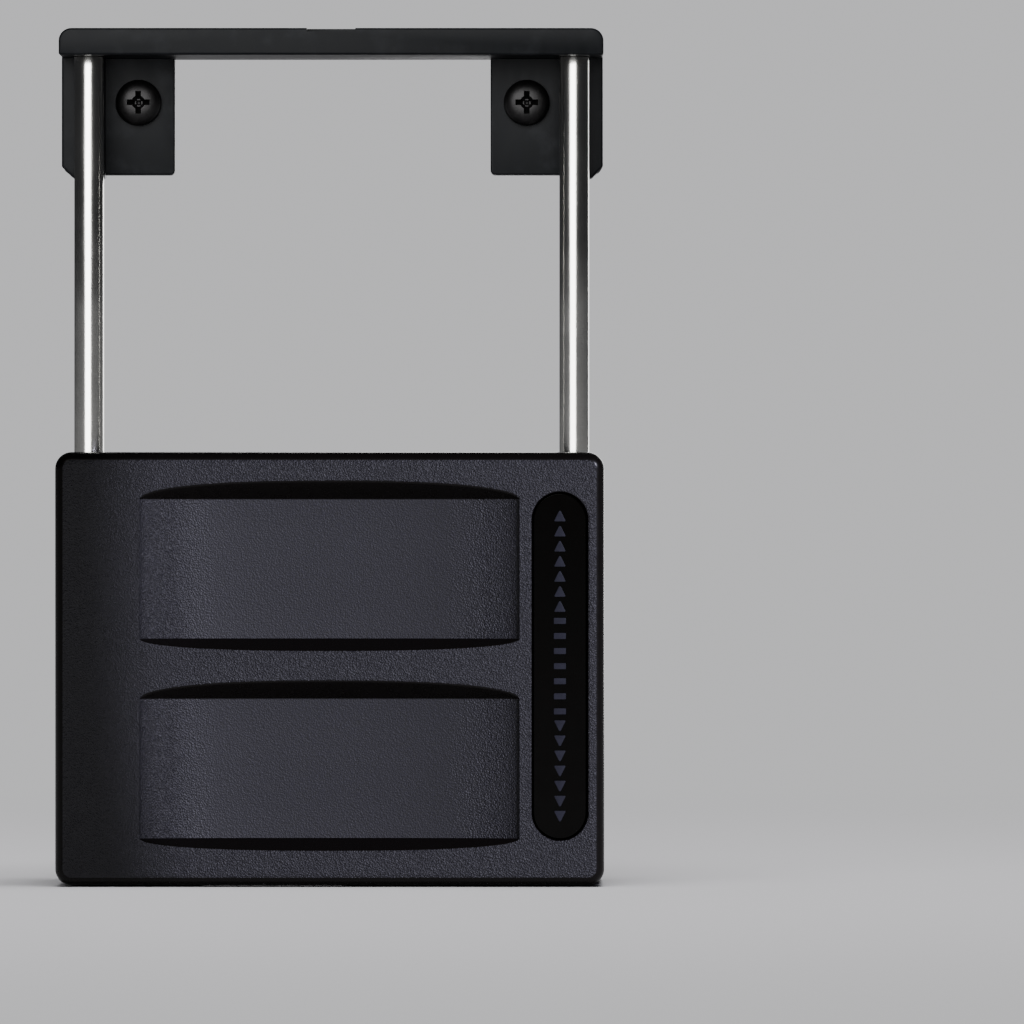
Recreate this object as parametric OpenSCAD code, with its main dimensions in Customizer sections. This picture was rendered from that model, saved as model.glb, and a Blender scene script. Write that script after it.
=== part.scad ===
// Lockout slide for a double bank of panel circuit breakers.
// Two end brackets screw to the panel and hold two steel rods. A hollow cover slides on the
// rods and always hides one of the two banks, so only the other bank can be switched on.
//
// Frame: +X right, +Z up along the slide, the front faces -Y. The panel is the plane Y = 0,
// and the origin is the centre of the four mounting screws on it. A height above the panel
// is a distance along -Y. The cover rests at the lower end of its travel.

/* [Overall] */
// Width of the brackets and of the cover
body_w = 72.9; // [72.5:0.1:78]
// Length between the outer faces of the two end bars
body_len = 114.3; // [112:0.1:130]

/* [Panel screws] */
// Distance between the left and right screws
screw_pitch_x = 52.37; // [50:0.01:54]
// Distance between the upper and lower screws
screw_pitch_z = 95.25; // [93:0.05:98]
// Outer diameter of the screw thread
screw_d = 3.5; // [3:0.1:3.6]
// Length of the screw under its head
screw_len = 12.7; // [9:0.1:19]
// Diameter of the pan head
head_d = 6.2; // [6:0.1:7.2]
// Height of the pan head
head_t = 2.1; // [1.6:0.1:2.4]

/* [Bracket] */
// Thickness of the end bar
bar_t = 3.6; // [3.2:0.1:3.6]
// Height of the end bar above the panel
bar_depth = 15; // [14:0.1:15]
// Radius of the bar's two outer corners
bar_r = 1.7; // [0.8:0.1:2.4]
// Width of one foot
foot_w = 15.15; // [14:0.05:17]
// Length of one foot beside the bar
foot_len = 15.65; // [14:0.05:18]
// Thickness of a foot
foot_t = 3; // [2:0.1:3.5]
// Height of the rib on a foot, under the rod
rib_depth = 5.8; // [4:0.1:5.8]

/* [Rods] */
// Rod diameter
rod_d = 3.97; // [3.6:0.01:4.1]
// Distance between the two rods
rod_pitch = 65.1; // [64.6:0.1:65.1]
// Height of the rod axis above the panel
rod_depth = 10.5; // [10.3:0.1:10.6]

/* [Cover] */
// Length of the cover along the rods
cover_len = 57.5; // [54:0.1:60]
// Height of the cover's face above the panel
face_depth = 26; // [25.8:0.1:27]
// Thickness of the side walls
wall_t = 1.4; // [1.2:0.1:1.5]
// Radius of the cover's four corners, seen from the front
cover_r = 2.2; // [1.8:0.1:3]
// Radius of the rounded edge round the face
edge_r = 1.6; // [1:0.1:1.8]

/* [Finger scoops] */
// Length of a scoop across the cover
scoop_w = 50.4; // [44:0.1:51]
// Width of a scoop's floor
scoop_floor = 18.5; // [16:0.1:19]
// Distance between the middles of the two scoops
scoop_pitch = 26.5; // [26:0.1:27]
// Depth of a scoop in the middle
scoop_depth = 2.8; // [2:0.1:3]
// Flare of a scoop's upper wall
flare_up = 2.4; // [1:0.1:2.5]
// Flare of a scoop's lower wall
flare_down = 1.55; // [1:0.05:1.8]
// How square the floor's curve is, where 2 is an ellipse
scoop_power = 2.4; // [2:0.1:4]

/* [Marking inlay] */
// Width of the pocket for the inlay
inlay_w = 7.4; // [6:0.1:7.4]
// Length of the pocket for the inlay
inlay_len = 46.2; // [40:0.1:48]
// Depth of the pocket in the face
inlay_pocket = 1.6; // [1.2:0.1:1.7]

/* [Hidden] */
$fn = 64;

eps = 0.5;              // how far a cutting shape runs past the surface that it cuts
half_w = body_w / 2;
half_len = body_len / 2;
rod_x = rod_pitch / 2;
screw_x = screw_pitch_x / 2;
screw_z = screw_pitch_z / 2;

// Bracket
socket_depth = 2.6;     // socket in the bar for the end of a rod
socket_play = 0.05;     // end play of the rod in its sockets
foot_inner_r = 0.7;
foot_outer_r = 1.5;
rib_w = 5.8;
rib_drop = 0.5;         // how far the rib runs past the end of the foot
notch_w = 6.5;          // mould witness notch in the middle of the bar
notch_t = 0.45;
notch_depth = 3;
screw_hole_d = 3.8;

// Cover
run_gap = 0.4;          // gap between the moving cover and the end bars
stop_gap = 0.05;        // gap between a lug and the end bar when the cover rests
lug_inset = bar_t + stop_gap;
skirt_inset = bar_t + run_gap - stop_gap;
skirt_depth = 6.2;      // height of the lower edge of the side walls above the panel
end_wall_t = 1.6;
ceiling_depth = 21.3;   // inside of the face, behind the scoops
side_ceiling_depth = 23; // inside of the face, over the rods
side_channel_w = 9.5;
lug_len = 8;
lug_bottom = 6.6;
lug_w = 7.1;
lug_lip = 1;            // wall that holds the drag ring at the outer end of a lug
bush_d = 5.6;
bush_play = 0.05;
ring_play = 0.03;
ring_len = 1.2;
rod_gap = 0.3;
passage_x = [-17, 2];   // sideways limits of the passage for levers that are switched off
passage_depth = 20.9;
cover_low = -half_len;
cover_high = cover_low + cover_len;
cover_mid = cover_low + cover_len / 2;

// Inlay
inlay_x = 30.55;
inlay_lift = 0.35;      // the pocket's middle above the cover's middle
inlay_t = 0.7;
inlay_gap = 0.1;
mark_w = 1.6;
mark_t = 0.4;
mark_step = 2;
mark_count = 21;
mark_bars = 3;          // plain bars on each side of the middle mark
mark_z = inlay_lift + cover_mid;

// ---- shared shapes ----

// A flat outline in X and Z, from height low to height high above the panel
module slab(low, high)
    translate([0, -low, 0]) rotate([90, 0, 0]) linear_extrude(high - low) children();

// A box from its limits in X, in Z and in height above the panel
module block(x, z, depth)
    translate([x[0], -depth[1], z[0]]) cube([x[1] - x[0], depth[1] - depth[0], z[1] - z[0]]);

// A rectangle with all four corners round
module round_rect(size, r) {
    translate([r, 0]) square([size[0] - 2 * r, size[1]]);
    translate([0, r]) square([size[0], size[1] - 2 * r]);
    for (x = [r, size[0] - r], y = [r, size[1] - r]) translate([x, y]) circle(r);
}

// A cylinder along the rods
module along_rod(d, low, high)
    translate([rod_x, -rod_depth, low]) cylinder(d = d, h = high - low);

// ---- brackets ----

// Outline of one foot: its inner corner, its outer corner and a square joint with the bar
module foot_outline() {
    low = half_len - bar_t - foot_len;
    inner = half_w - foot_w;
    reach = foot_len + bar_t / 2;
    difference() {
        translate([inner, low]) square([foot_w, reach]);
        translate([inner, low]) square(foot_inner_r);
        translate([half_w - foot_outer_r, low]) square(foot_outer_r);
    }
    translate([inner + foot_inner_r, low + foot_inner_r]) circle(foot_inner_r);
    translate([half_w - foot_outer_r, low + foot_outer_r]) circle(foot_outer_r);
}

module rib_outline() {
    low = half_len - bar_t - foot_len - rib_drop;
    polygon([[half_w - rib_w, low], [half_w - foot_outer_r, low], [half_w, low + foot_outer_r],
        [half_w, half_len - bar_t / 2], [half_w - rib_w, half_len - bar_t / 2]]);
}

module bar_outline() {
    low = half_len - bar_t;
    translate([-half_w, low]) square([body_w, bar_t - bar_r]);
    translate([-half_w + bar_r, low]) square([body_w - 2 * bar_r, bar_t]);
    for (side = [-1, 1]) translate([side * (half_w - bar_r), half_len - bar_r]) circle(bar_r);
}

// The bracket at the upper end; the lower one is its mirror image
module bracket() color("#26272a") difference() {
    union() {
        slab(0, bar_depth) bar_outline();
        for (side = [0, 1]) mirror([side, 0, 0]) {
            slab(0, foot_t) foot_outline();
            slab(0, rib_depth) rib_outline();
        }
    }
    for (side = [0, 1]) mirror([side, 0, 0]) {
        along_rod(rod_d, half_len - bar_t - eps, half_len - bar_t + socket_depth);
        translate([screw_x, eps, screw_z]) rotate([90, 0, 0]) cylinder(d = screw_hole_d, h = foot_t + 2 * eps);
    }
    block([-notch_w / 2, notch_w / 2], [half_len - notch_t, half_len + eps],
        [bar_depth - notch_depth, bar_depth + eps]);
}

// ---- rods ----

rod_end = half_len - bar_t + socket_depth - socket_play;
rod_chamfer = 0.4;

module rod() color("#c8c9cb")
    translate([0, -rod_depth, 0]) rotate_extrude() polygon([
        [0, -rod_end], [rod_d / 2 - rod_chamfer, -rod_end], [rod_d / 2, -rod_end + rod_chamfer],
        [rod_d / 2, rod_end - rod_chamfer], [rod_d / 2 - rod_chamfer, rod_end], [0, rod_end]]);

// ---- mounting screws ----

neck_d = 3;             // plain shank that passes through the foot
neck_len = foot_t + 0.2;
head_edge = 0.9;        // straight side of the pan head
recess_w = 3.6;
recess_t = 0.85;
recess_depth = 1.3;

module screw(x, z) color("#1d1d20") translate([x, -foot_t, z]) rotate([90, 0, 0]) difference() {
    union() {
        translate([0, 0, -screw_len]) cylinder(d = screw_d, h = screw_len - neck_len);
        translate([0, 0, -neck_len - eps]) cylinder(d = neck_d, h = neck_len + 2 * eps);
        rotate_extrude() polygon([[0, 0], [head_d / 2, 0], [head_d / 2, head_edge],
            [head_d / 2 - head_edge, head_t], [0, head_t]]);
    }
    for (turn = [0, 90]) rotate(turn)
        translate([-recess_w / 2, -recess_t / 2, head_t - recess_depth]) cube([recess_w, recess_t, head_t]);
}

// ---- sliding cover ----

// Outer form: rounded corners from the front, and a rounded edge round the face
module cover_form() intersection() {
    slab(skirt_depth, face_depth)
        translate([-half_w, cover_low]) round_rect([body_w, cover_len], cover_r);
    translate([-half_w, -face_depth, cover_low - eps]) linear_extrude(cover_len + 2 * eps)
        round_rect([body_w, 2 * face_depth], edge_r);
    translate([-half_w - eps, -face_depth, cover_low]) rotate([90, 0, 90]) linear_extrude(body_w + 2 * eps)
        round_rect([2 * face_depth, cover_len], edge_r);
}

// Depth of a scoop's floor at a distance x from its middle
function scoop_at(x) = scoop_depth * pow(max(0, 1 - pow(abs(x) / (scoop_w / 2), scoop_power)), 1 / scoop_power);

scoop_steps = 32;

// One scoop: a floor with straight edges that sinks in a curve between its two ends, and walls
// that flare outwards with a constant slope, so that the scoop's edge on the face is an arc
module scoop(middle) {
    top = face_depth + eps;
    sections = [for (i = [0 : scoop_steps])
        let (x = -scoop_w / 2 * cos(180 * i / scoop_steps), deep = scoop_at(x), rise = (deep + eps) / scoop_depth)
        [[x, deep - face_depth, middle - scoop_floor / 2],
            [x, deep - face_depth, middle + scoop_floor / 2],
            [x, -top, middle + scoop_floor / 2 + flare_up * rise],
            [x, -top, middle - scoop_floor / 2 - flare_down * rise]]];
    corners = 4;
    polyhedron([for (section = sections, point = section) point],
        concat([[for (k = [0 : corners - 1]) k]],
            [[for (k = [corners - 1 : -1 : 0]) scoop_steps * corners + k]],
            [for (i = [0 : scoop_steps - 1], k = [0 : corners - 1])
                let (next = (k + 1) % corners)
                [i * corners + k, (i + 1) * corners + k, (i + 1) * corners + next, i * corners + next]]));
}

// The lug that carries the bush and the drag ring on the right-hand rod at the upper end
module lug()
    block([rod_x - lug_w / 2, half_w - wall_t / 2], [cover_high - lug_inset - lug_len, cover_high - lug_inset],
        [lug_bottom, side_ceiling_depth + eps]);

module lug_bore() {
    inner_end = cover_high - lug_inset - lug_len;
    along_rod(bush_d, inner_end - eps, inner_end + lug_len - lug_lip);
    along_rod(rod_d + 2 * rod_gap, inner_end, inner_end + lug_len + eps);
}

// Its children four times: once for each corner of the cover
module at_each_lug()
    for (side = [0, 1], end = [0, 1])
        translate([0, 0, cover_mid]) mirror([side, 0, 0]) mirror([0, 0, end]) translate([0, 0, -cover_mid])
            children();

module inlay_outline(size, length) {
    translate([inlay_x - size / 2, mark_z - length / 2]) round_rect([size, length], size / 2 - 0.001);
}

module slide_cover() color("#302f35") difference() {
    union() {
        difference() {
            cover_form();
            block([side_channel_w - half_w, half_w - side_channel_w],
                [cover_low + end_wall_t, cover_high - end_wall_t], [0, ceiling_depth]);
            for (side = [0, 1]) mirror([side, 0, 0])
                block([half_w - side_channel_w - eps, half_w - wall_t],
                    [cover_low + end_wall_t, cover_high - end_wall_t], [0, side_ceiling_depth]);
        }
        at_each_lug() lug();
    }
    for (z = [[cover_low - eps, cover_low + lug_inset], [cover_high - lug_inset, cover_high + eps]])
        block([-half_w - eps, half_w + eps], z, [0, bar_depth + run_gap]);
    for (z = [[cover_low - eps, cover_low + skirt_inset], [cover_high - skirt_inset, cover_high + eps]], side = [0, 1])
        mirror([side, 0, 0]) block([half_w - wall_t, half_w + eps], z, [0, bar_depth + run_gap]);
    block(passage_x, [cover_low - eps, cover_high + eps], [0, passage_depth]);
    at_each_lug() lug_bore();
    for (side = [-1, 1]) scoop(cover_mid + side * scoop_pitch / 2);
    slab(face_depth - inlay_pocket, face_depth + eps) inlay_outline(inlay_w, inlay_len);
}

// ---- pieces fixed to the cover ----

// Small plain marks in a column: arrowheads that point along the slide, and bars between them
module mark(i) {
    from_middle = i - (mark_count - 1) / 2;
    z = mark_z + from_middle * mark_step;
    if (abs(from_middle) <= mark_bars)
        translate([inlay_x - mark_w / 2, z - mark_w / 4]) square([mark_w, mark_w / 2]);
    else
        translate([inlay_x, z]) scale(sign(from_middle))
            polygon([[-mark_w / 2, -mark_w / 2], [mark_w / 2, -mark_w / 2], [0, mark_w / 2]]);
}

module marking_inlay() color("#0f0b08") {
    base = face_depth - inlay_pocket;
    slab(base, base + inlay_t) inlay_outline(inlay_w - 2 * inlay_gap, inlay_len - 2 * inlay_gap);
    slab(base + inlay_t - mark_t / 2, base + inlay_t + mark_t)
        for (i = [0 : mark_count - 1]) mark(i);
}

// side is 1 on the right and -1 on the left, end is 1 at the top and -1 at the bottom
module at_lug(side, end)
    translate([0, 0, cover_mid]) mirror([side < 0 ? 1 : 0, 0, 0]) mirror([0, 0, end < 0 ? 1 : 0])
        translate([0, 0, -cover_mid]) children();

ring_low = cover_high - lug_inset - lug_lip - ring_len;

module bush(side, end) color("#d8d8d2") at_lug(side, end) difference() {
    along_rod(bush_d, cover_high - lug_inset - lug_len, ring_low);
    along_rod(rod_d + 2 * bush_play, cover_high - lug_inset - lug_len - eps, ring_low + eps);
}

module drag_ring(side, end) color("#1b1b1b") at_lug(side, end) difference() {
    along_rod(bush_d, ring_low, ring_low + ring_len);
    along_rod(rod_d + 2 * ring_play, ring_low - eps, ring_low + ring_len + eps);
}

bracket();  // upper_bracket
mirror([0, 0, 1]) bracket();  // lower_bracket
translate([-rod_x, 0, 0]) rod();  // left_rod
translate([rod_x, 0, 0]) rod();  // right_rod
screw(-screw_x, screw_z);  // upper_left_screw
screw(screw_x, screw_z);  // upper_right_screw
screw(-screw_x, -screw_z);  // lower_left_screw
screw(screw_x, -screw_z);  // lower_right_screw
slide_cover();
marking_inlay();
bush(-1, 1);  // upper_left_bush
bush(1, 1);  // upper_right_bush
bush(-1, -1);  // lower_left_bush
bush(1, -1);  // lower_right_bush
drag_ring(-1, 1);  // upper_left_drag_ring
drag_ring(1, 1);  // upper_right_drag_ring
drag_ring(-1, -1);  // lower_left_drag_ring
drag_ring(1, -1);  // lower_right_drag_ring
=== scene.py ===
import bmesh
import bpy
import math
from mathutils import Matrix, Vector
from mathutils.geometry import tessellate_polygon


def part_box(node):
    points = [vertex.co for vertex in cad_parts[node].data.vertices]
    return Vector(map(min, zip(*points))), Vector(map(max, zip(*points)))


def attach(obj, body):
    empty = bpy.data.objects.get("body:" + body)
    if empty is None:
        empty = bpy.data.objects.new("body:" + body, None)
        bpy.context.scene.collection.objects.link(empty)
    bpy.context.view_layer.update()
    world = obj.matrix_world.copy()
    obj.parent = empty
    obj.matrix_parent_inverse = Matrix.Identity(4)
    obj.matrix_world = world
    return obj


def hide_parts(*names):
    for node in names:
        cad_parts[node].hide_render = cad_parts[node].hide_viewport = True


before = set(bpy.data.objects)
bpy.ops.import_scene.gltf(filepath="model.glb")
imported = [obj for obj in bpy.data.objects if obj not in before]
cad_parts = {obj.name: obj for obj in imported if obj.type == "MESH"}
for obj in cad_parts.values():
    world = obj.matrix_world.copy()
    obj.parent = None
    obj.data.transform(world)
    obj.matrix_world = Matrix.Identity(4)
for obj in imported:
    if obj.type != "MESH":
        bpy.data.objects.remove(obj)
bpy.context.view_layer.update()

# ---- End brackets ----
# Two black ABS mouldings, mirror images, that screw to the panel. Each is a thick end bar on two
# flat feet, with a chamfered rib outside each foot and a blind socket for the end of each rod.
# They come from a polished mould, so they are satin with faint flow marks and handling scuffs.
MM = 0.001


def limits(node):
    """Lowest and highest corner of a CAD node, in millimetres."""
    low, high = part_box(node)
    return low / MM, high / MM


def fillet_outline(corners, steps=8):
    """A closed outline from corners (a, b, radius), with an arc at each corner that has a radius."""
    points = []
    for i, (a, b, radius) in enumerate(corners):
        here = Vector((a, b))
        if radius == 0:
            points.append(here)
            continue
        back = (Vector(corners[i - 1][:2]) - here).normalized()
        ahead = (Vector(corners[(i + 1) % len(corners)][:2]) - here).normalized()
        half_angle = back.angle(ahead) / 2
        centre = here + (back + ahead).normalized() * radius / math.sin(half_angle)
        start = here + back * radius / math.tan(half_angle) - centre
        turn = start.angle_signed(here + ahead * radius / math.tan(half_angle) - centre)
        for k in range(steps + 1):
            angle = -turn * k / steps
            points.append(centre + Matrix.Rotation(angle, 2) @ start)
    return points


def solid_from(bm, name):
    """A scratch object in millimetres, with its faces turned outwards."""
    bmesh.ops.recalc_face_normals(bm, faces=bm.faces)
    mesh = bpy.data.meshes.new(name)
    bm.to_mesh(mesh)
    bm.free()
    made = bpy.data.objects.new(name, mesh)
    bpy.context.scene.collection.objects.link(made)
    return made


def soften(bm, radius, segments=3):
    """Rounds every sharp edge, as the corners of a mould are."""
    sharp = [e for e in bm.edges if e.is_manifold and e.calc_face_angle() > math.radians(30)]
    bmesh.ops.bevel(bm, geom=sharp, offset=radius, segments=segments, profile=0.5,
                    affect="EDGES", clamp_overlap=True)


def plate(outline, low, high, soft):
    """A solid with an outline in X and Z, between two heights above the panel."""
    bm = bmesh.new()
    face = bm.faces.new([bm.verts.new((p[0], -low, p[1])) for p in outline])
    top = bmesh.ops.extrude_face_region(bm, geom=[face])
    lifted = [v for v in top["geom"] if isinstance(v, bmesh.types.BMVert)]
    bmesh.ops.translate(bm, verts=lifted, vec=(0, low - high, 0))
    bmesh.ops.recalc_face_normals(bm, faces=bm.faces)
    soften(bm, soft)
    return solid_from(bm, "plate")


def circle(bm, radius, height, steps):
    """A ring of points about Z, or a single point where the radius is 0."""
    if radius == 0:
        return [bm.verts.new((0, 0, height))]
    angles = [2 * math.pi * k / steps for k in range(steps)]
    return [bm.verts.new((radius * math.cos(angle), radius * math.sin(angle), height)) for angle in angles]


def join_rings(bm, ring, following, material=0):
    """Faces between two closed rings of points, either of which may be a single point."""
    count = max(len(ring), len(following))
    for k in range(count):
        after = (k + 1) % count
        corners = [ring[k % len(ring)], ring[after % len(ring)],
                   following[after % len(following)], following[k % len(following)]]
        bm.faces.new(list(dict.fromkeys(corners))).material_index = material


def turned(profile, steps=48):
    """A solid of revolution about Z from (radius, height) pairs that start and end on the axis."""
    bm = bmesh.new()
    rings = [circle(bm, radius, height, steps) for radius, height in profile]
    for ring, following in zip(rings, rings[1:]):
        join_rings(bm, ring, following)
    return solid_from(bm, "turned")


def place(made, matrix):
    """Moves the points of a scratch object."""
    made.data.transform(matrix)
    return made


def combine(base, other, operation):
    """Joins a scratch solid to another one or cuts it away, and removes it."""
    step = base.modifiers.new("combine", "BOOLEAN")
    step.operation = operation
    step.solver = "MANIFOLD"
    step.object = other
    bpy.context.view_layer.update()
    result = bpy.data.meshes.new_from_object(base.evaluated_get(bpy.context.evaluated_depsgraph_get()))
    base.modifiers.clear()
    base.data = result
    bpy.data.objects.remove(other)
    return base


def finish_piece(made, name, material, body, replaced):
    """Turns a scratch solid in millimetres into a finished piece in the frame."""
    made.name = name
    made.data.name = name
    made.data.transform(Matrix.Scale(MM, 4))
    made.data.shade_smooth()
    made.data.set_sharp_from_angle(angle=math.radians(35))
    kinds = [polygon.material_index for polygon in made.data.polygons]
    made.data.materials.clear()
    for finish in material if isinstance(material, list) else [material]:
        made.data.materials.append(finish)
    made.data.polygons.foreach_set("material_index", kinds)
    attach(made, body)
    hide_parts(*replaced)
    return made


def colour(code):
    """A hex sRGB colour as linear RGBA."""
    channels = [int(code[i:i + 2], 16) / 255 for i in (1, 3, 5)]
    return [c / 12.92 if c <= 0.04045 else ((c + 0.055) / 1.055) ** 2.4 for c in channels] + [1.0]


def add_node(tree, kind, inputs=None, **settings):
    """Adds a node with its settings; an input is a value, or another node's output to link."""
    made = tree.nodes.new(kind)
    for key, value in settings.items():
        setattr(made, key, value)
    for key, value in (inputs or {}).items():
        if isinstance(value, bpy.types.NodeSocket):
            tree.links.new(value, made.inputs[key])
        else:
            made.inputs[key].default_value = value
    return made


def blend(tree, share, first, second):
    """Mixes two colours, or outputs, by a share, and returns the colour output."""
    mixed = add_node(tree, "ShaderNodeMix", {"Factor": share, "A": first, "B": second}, data_type="RGBA")
    return [socket for socket in mixed.outputs if socket.type == "RGBA"][0]


def new_material(name):
    """An empty node material, with its tree and its output node."""
    made = bpy.data.materials.new(name)
    made.use_nodes = True
    made.node_tree.nodes.clear()
    return made, made.node_tree, add_node(made.node_tree, "ShaderNodeOutputMaterial")


def per_mm(size):
    """Texture scale that gives features of this size in millimetres."""
    return 1 / (size * MM)


satin_abs, tree, output = new_material("satin_moulded_abs")
place_on = add_node(tree, "ShaderNodeTexCoord").outputs["Object"]
# A nearly black satin: flow marks run along the moulding as soft streaks, and scuffs are a little paler.
along = add_node(tree, "ShaderNodeMapping", {"Vector": place_on, "Scale": (1.0, 1.0, 0.22)})
flow = add_node(tree, "ShaderNodeTexNoise", {
    "Vector": along.outputs[0], "Scale": per_mm(1.4), "Detail": 4.0, "Roughness": 0.6})
grain = add_node(tree, "ShaderNodeTexNoise", {"Vector": place_on, "Scale": per_mm(0.25), "Detail": 2.0})
scuffs = add_node(tree, "ShaderNodeTexNoise", {
    "Vector": place_on, "Scale": per_mm(5.0), "Detail": 6.0, "Roughness": 0.7})
scuff_mask = add_node(tree, "ShaderNodeMapRange", {
    "Value": scuffs.outputs["Fac"], "From Min": 0.52, "From Max": 0.72})
tint = blend(tree, flow.outputs["Fac"], colour("#08090a"), colour("#0f1012"))
tint = blend(tree, scuff_mask.outputs[0], tint, colour("#151618"))
rough = add_node(tree, "ShaderNodeMapRange", {"Value": flow.outputs["Fac"], "To Min": 0.34, "To Max": 0.48})
bump = add_node(tree, "ShaderNodeBump", {
    "Height": grain.outputs["Fac"], "Strength": 0.25, "Distance": 0.02 * MM})
skin = add_node(tree, "ShaderNodeBsdfPrincipled", {
    "Base Color": tint, "Roughness": rough.outputs[0], "IOR": 1.54, "Specular IOR Level": 0.035,
    "Normal": bump.outputs[0]})
tree.links.new(skin.outputs[0], output.inputs[0])

bracket_low, bracket_high = limits("upper_bracket")
half_w = bracket_high.x                     # half the width of the brackets and the cover
half_len = bracket_high.z                   # from the middle of the screws to the outer face
bar_top = -bracket_low.y                    # height of the bar above the panel
bar_t, bar_r, socket_depth = 3.6, 1.7, 2.6
foot_w, foot_len, foot_t = 15.15, 15.65, 3.0
rib_w, rib_top, rib_drop, chamfer = 5.8, 5.8, 0.5, 1.5
gate_half_w, gate_step, gate_depth = 3.25, 0.45, 3.0
rod_x = limits("right_rod")[0].x / 2 + limits("right_rod")[1].x / 2
rod_top = -(limits("right_rod")[0].y + limits("right_rod")[1].y) / 2
rod_r = (limits("right_rod")[1].x - limits("right_rod")[0].x) / 2
screw_x = sum(end.x for end in limits("upper_right_screw")) / 2
screw_z = sum(end.z for end in limits("upper_right_screw")) / 2


def bracket():
    """The upper bracket, with its sockets, screw holes and the step that the gate leaves."""
    bar_low = half_len - bar_t
    foot_low = bar_low - foot_len
    bar = [(-half_w, bar_low, 0.3), (half_w, bar_low, 0.3),
           (half_w, half_len, bar_r), (-half_w, half_len, bar_r)]
    made = plate(fillet_outline(bar), 0, bar_top, 0.3)
    for side in (-1, 1):
        foot_in, foot_out = side * (half_w - foot_w), side * half_w
        rib_in = side * (half_w - rib_w)
        buried = half_len - 1               # feet and ribs end inside the bar
        foot = [(foot_in, foot_low, 0.7), (foot_out, foot_low, 1.5),
                (foot_out, buried, 0), (foot_in, buried, 0)]
        combine(made, plate(fillet_outline(foot), 0, foot_t, 0.22), "UNION")
        rib_low = foot_low - rib_drop
        rib = [(rib_in, rib_low, 0.4), (foot_out - side * chamfer, rib_low, 0.5),
               (foot_out, rib_low + chamfer, 0.5), (foot_out, buried, 0), (rib_in, buried, 0)]
        combine(made, plate(fillet_outline(rib), 0, rib_top, 0.3), "UNION")
        socket = turned([(0, -1), (rod_r + 0.25, -1), (rod_r + 0.25, 0.05), (rod_r + 0.02, 0.3),
                         (rod_r + 0.02, socket_depth), (0, socket_depth)])
        combine(made, place(socket, Matrix.Translation((side * rod_x, -rod_top, bar_low))), "DIFFERENCE")
        hole = turned([(0, -1), (2.1, -1), (2.1, 0), (1.9, 0.2), (1.9, 5), (0, 5)])
        combine(made, place(hole, Matrix.Translation((side * screw_x, 0, screw_z))
                            @ Matrix.Rotation(math.pi / 2, 4, "X")), "DIFFERENCE")
    # the gate of the mould leaves a shallow step in the middle of the bar's front edge
    gate = [(-gate_half_w, half_len - gate_step, 0), (gate_half_w, half_len - gate_step, 0),
            (gate_half_w, half_len + 1, 0), (-gate_half_w, half_len + 1, 0)]
    gate_cut = plate(fillet_outline(gate), bar_top - gate_depth, bar_top + 1, 0.08)
    return combine(made, gate_cut, "DIFFERENCE")


upper = finish_piece(bracket(), "upper_bracket_moulding", satin_abs, "base", ["upper_bracket"])
turned_over = bracket()
turned_over.data.transform(Matrix.Scale(-1, 4, (0, 0, 1)))
turned_over.data.flip_normals()
lower = finish_piece(turned_over, "lower_bracket_moulding", satin_abs, "base", ["lower_bracket"])

# ---- Rods ----
# Two stainless rods, ground to size between centres and polished, so they keep very fine rings
# across their length. Their ends are chamfered and trapped in the sockets of the brackets.
ground_steel, tree, output = new_material("ground_stainless_steel")
place_on = add_node(tree, "ShaderNodeTexCoord").outputs["Object"]
# Bright metal with a sharp streak down it. Grinding leaves marks a few hundredths of a millimetre
# apart, which are drawn coarser here so that they show.
around = add_node(tree, "ShaderNodeMapping", {"Vector": place_on, "Scale": (0.04, 0.04, 1.0)})
rings = add_node(tree, "ShaderNodeTexNoise", {
    "Vector": around.outputs[0], "Scale": per_mm(0.12), "Detail": 3.0, "Roughness": 0.65})
smears = add_node(tree, "ShaderNodeTexNoise", {"Vector": place_on, "Scale": per_mm(6.0), "Detail": 3.0})
rough = add_node(tree, "ShaderNodeMapRange", {"Value": smears.outputs["Fac"], "To Min": 0.13, "To Max": 0.24})
bump = add_node(tree, "ShaderNodeBump", {
    "Height": rings.outputs["Fac"], "Strength": 0.12, "Distance": 0.01 * MM})
skin = add_node(tree, "ShaderNodeBsdfPrincipled", {
    "Base Color": colour("#c9c8c4"), "Metallic": 1.0, "Roughness": rough.outputs[0],
    "Normal": bump.outputs[0]})
tree.links.new(skin.outputs[0], output.inputs[0])

rod_end = limits("right_rod")[1].z
steel_pieces = []
for side, side_name in ((-1, "left"), (1, "right")):
    upper_half = [(rod_r, 20), (rod_r, rod_end - 0.45), (rod_r - 0.03, rod_end - 0.38),
                  (rod_r - 0.4, rod_end - 0.02), (rod_r - 0.5, rod_end), (0, rod_end)]
    lower_half = [(radius, -height) for radius, height in reversed(upper_half)]
    rod = turned(lower_half + upper_half, steps=96)
    place(rod, Matrix.Translation((side * rod_x, -rod_top, 0)))
    finish_piece(rod, side_name + "_guide_rod", ground_steel, "base", [side_name + "_rod"])
    steel_pieces.append(rod)

# ---- Mounting screws ----
# Four size 6 pan head Phillips screws, cold headed and thread rolled from steel and then blackened.
# The oxide wears to a dark brown-grey sheen on the rim of the head and in the edges of the recess.
black_oxide, tree, output = new_material("black_oxide_steel")
place_on = add_node(tree, "ShaderNodeTexCoord").outputs["Object"]
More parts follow.
